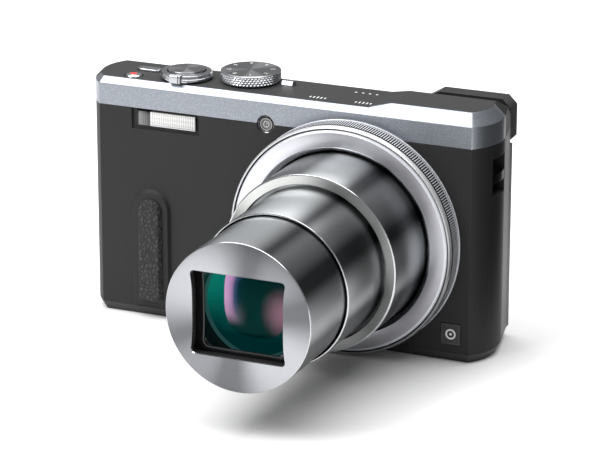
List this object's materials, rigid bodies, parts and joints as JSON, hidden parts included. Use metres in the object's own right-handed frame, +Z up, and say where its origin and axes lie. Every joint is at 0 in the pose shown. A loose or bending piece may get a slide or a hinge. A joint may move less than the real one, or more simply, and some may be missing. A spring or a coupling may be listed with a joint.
{
  "type": "compact digital camera",
  "caption": "Compact digital camera with a telescoping zoom lens, knurled control ring, top dials, flash window, rear display and eye-level viewfinder.",
  "frame": {"origin": "middle of the base, on the surface the camera stands on", "axes": "+Z up, -Y the way the lens looks, +X towards the lens end of the body"},
  "size_m": [0.1106, 0.0954, 0.0664],
  "materials": {
    "charcoal": "fine matte paint",
    "silver_paint": "metallic satin paint",
    "deck_paint": "fine matte paint",
    "black_plastic": "fine grain",
    "grip_rubber": "leather grain",
    "gloss_black": "gloss",
    "diffuser": "ribbed",
    "mirror_chrome": "polished",
    "gunmetal": "brushed, anodised",
    "satin_silver": "turned satin",
    "bezel_silver": "spun",
    "lens_glass": "coated",
    "blackened": "matte black",
    "dial_metal": "spun and knurled",
    "key_metal": "satin",
    "board": "solder mask",
    "steel": "plated",
    "aluminium_case": "drawn",
    "cell_wrap": "wrap",
    "screen": "polished"
  },
  "bodies": {
    "camera_body": {"front_cover": "charcoal", "top_band": "silver_paint", "top_plate": "deck_paint", "rear_cover": "black_plastic", "base_plate": "charcoal", "grip_pad": "grip_rubber", "badge_plate": "black_plastic", "flash_window": "diffuser", "flash_reflector": "mirror_chrome", "flash_capacitor": "cell_wrap", "focus_lamp_lens": "gloss_black", "lens_collar": "satin_silver", "lens_housing": "blackened", "zoom_motor": "steel", "sensor_board": "board", "main_board": "board", "chassis": "steel", "display_panel": "aluminium_case", "display_cover": "screen", "viewfinder_housing": "black_plastic", "eyepiece_frame": "black_plastic", "eyepiece_lens": "lens_glass", "speaker": "black_plastic", "strap_lug": "steel", "battery": "cell_wrap", "memory_card": "cell_wrap", "tripod_socket": "steel", "dial_index": "key_metal", "screws": "steel", "hinge_pins": "steel", "data_socket": "steel"},
    "outer_barrel": {"barrel_outer": "gunmetal"},
    "middle_barrel": {"barrel_middle": "gunmetal"},
    "inner_barrel": {"barrel_inner": "gunmetal", "front_bezel": "bezel_silver", "lens_surround": "blackened", "front_lens": "lens_glass"},
    "upper_front_leaf": {"blade_upper_front": "blackened"},
    "upper_rear_leaf": {"blade_upper_rear": "blackened"},
    "lower_front_leaf": {"blade_lower_front": "blackened"},
    "lower_rear_leaf": {"blade_lower_rear": "blackened"},
    "control_ring": {"control_ring": "satin_silver"},
    "cam_ring": {"cam_ring": "aluminium_case"},
    "mode_dial": {"mode_dial": "dial_metal"},
    "zoom_lever": {"zoom_lever": "dial_metal"},
    "shutter_button": {"shutter_button": "dial_metal"},
    "power_button": {"power_button": "key_metal"},
    "record_button": {"record_button": "key_metal"},
    "rear_dial": {"rear_dial": "black_plastic"},
    "set_button": {"set_button": "black_plastic"},
    "playback_button": {"playback_button": "black_plastic"},
    "wireless_button": {"wireless_button": "black_plastic"},
    "display_button": {"display_button": "black_plastic"},
    "menu_button": {"menu_button": "black_plastic"},
    "viewfinder_button": {"viewfinder_button": "black_plastic"},
    "dioptre_wheel": {"dioptre_wheel": "black_plastic"},
    "battery_door": {"battery_door": "charcoal"},
    "door_lock": {"door_lock": "black_plastic"},
    "terminal_door": {"terminal_door": "charcoal"}
  },
  "joints": [
    {"name": "outer_barrel_slide", "type": "slide", "parent": "camera_body", "child": "outer_barrel", "axis": [0, 1, 0], "range_m": [0, 0.0186]},
    {"name": "middle_barrel_slide", "type": "slide", "parent": "outer_barrel", "child": "middle_barrel", "axis": [0, 1, 0], "range_m": [0, 0.0212]},
    {"name": "inner_barrel_slide", "type": "slide", "parent": "middle_barrel", "child": "inner_barrel", "axis": [0, 1, 0], "range_m": [0, 0.0207]},
    {"name": "cam_ring_turn", "type": "hinge", "parent": "camera_body", "child": "cam_ring", "pos_m": [0.0185, 0, 0.03], "axis": [0, 1, 0], "range_deg": [0, 60]},
    {"name": "control_ring_turn", "type": "hinge", "parent": "camera_body", "child": "control_ring", "pos_m": [0.0185, -0.014, 0.03], "axis": [0, 1, 0], "continuous": true},
    {"name": "upper_front_leaf_slide", "type": "slide", "parent": "inner_barrel", "child": "upper_front_leaf", "axis": [0, 0, -1], "range_m": [0, 0.0103]},
    {"name": "upper_rear_leaf_slide", "type": "slide", "parent": "inner_barrel", "child": "upper_rear_leaf", "axis": [0, 0, -1], "range_m": [0, 0.00515]},
    {"name": "lower_front_leaf_slide", "type": "slide", "parent": "inner_barrel", "child": "lower_front_leaf", "axis": [0, 0, 1], "range_m": [0, 0.0103]},
    {"name": "lower_rear_leaf_slide", "type": "slide", "parent": "inner_barrel", "child": "lower_rear_leaf", "axis": [0, 0, 1], "range_m": [0, 0.00515]},
    {"name": "mode_dial_turn", "type": "hinge", "parent": "camera_body", "child": "mode_dial", "pos_m": [-0.0136, 0.0003, 0.0645], "axis": [0, 0, 1], "continuous": true},
    {"name": "zoom_lever_turn", "type": "hinge", "parent": "camera_body", "child": "zoom_lever", "pos_m": [-0.0298, -0.0036, 0.0645], "axis": [0, 0, 1], "range_deg": [-25, 25], "stiffness_Nm_per_rad": 0.01},
    {"name": "shutter_press", "type": "slide", "parent": "camera_body", "child": "shutter_button", "axis": [0, 0, -1], "range_m": [0, 0.0005], "stiffness_N_per_m": 200},
    {"name": "power_press", "type": "slide", "parent": "camera_body", "child": "power_button", "axis": [0, 0, -1], "range_m": [0, 0.0004], "stiffness_N_per_m": 200},
    {"name": "record_press", "type": "slide", "parent": "camera_body", "child": "record_button", "axis": [0, 0, -1], "range_m": [0, 0.0004], "stiffness_N_per_m": 200},
    {"name": "rear_dial_turn", "type": "hinge", "parent": "camera_body", "child": "rear_dial", "pos_m": [-0.033, 0.012, 0.02], "axis": [0, 1, 0], "continuous": true},
    {"name": "set_press", "type": "slide", "parent": "camera_body", "child": "set_button", "axis": [0, -1, 0], "range_m": [0, 0.0003], "stiffness_N_per_m": 200},
    {"name": "playback_press", "type": "slide", "parent": "camera_body", "child": "playback_button", "axis": [0, -1, 0], "range_m": [0, 0.0003], "stiffness_N_per_m": 200},
    {"name": "wireless_press", "type": "slide", "parent": "camera_body", "child": "wireless_button", "axis": [0, -1, 0], "range_m": [0, 0.0003], "stiffness_N_per_m": 200},
    {"name": "display_press", "type": "slide", "parent": "camera_body", "child": "display_button", "axis": [0, -1, 0], "range_m": [0, 0.0003], "stiffness_N_per_m": 200},
    {"name": "menu_press", "type": "slide", "parent": "camera_body", "child": "menu_button", "axis": [0, -1, 0], "range_m": [0, 0.0003], "stiffness_N_per_m": 200},
    {"name": "viewfinder_press", "type": "slide", "parent": "camera_body", "child": "viewfinder_button", "axis": [0, -1, 0], "range_m": [0, 0.0003], "stiffness_N_per_m": 200},
    {"name": "dioptre_turn", "type": "hinge", "parent": "camera_body", "child": "dioptre_wheel", "pos_m": [0.031, 0.0135, 0.0556], "axis": [1, 0, 0], "range_deg": [-120, 120]},
    {"name": "battery_door_swing", "type": "hinge", "parent": "camera_body", "child": "battery_door", "pos_m": [-0.0169, 0, 0.0006], "axis": [0, -1, 0], "range_deg": [0, 90]},
    {"name": "door_lock_slide", "type": "slide", "parent": "battery_door", "child": "door_lock", "axis": [1, 0, 0], "range_m": [0, 0.0025]},
    {"name": "terminal_door_swing", "type": "hinge", "parent": "camera_body", "child": "terminal_door", "pos_m": [-0.05454, 0.0003, 0.027], "axis": [0, 0, -1], "range_deg": [0, 85]}
  ],
  "couplings": [
    {"joint": "middle_barrel_slide", "follows": "outer_barrel_slide", "ratio": 1.1398},
    {"joint": "inner_barrel_slide", "follows": "outer_barrel_slide", "ratio": 1.1129},
    {"joint": "cam_ring_turn", "follows": "outer_barrel_slide", "rad_per_m": 56.2},
    {"joint": "upper_rear_leaf_slide", "follows": "upper_front_leaf_slide", "ratio": 0.5},
    {"joint": "lower_front_leaf_slide", "follows": "upper_front_leaf_slide", "ratio": 1},
    {"joint": "lower_rear_leaf_slide", "follows": "upper_front_leaf_slide", "ratio": 0.5}
  ]
}
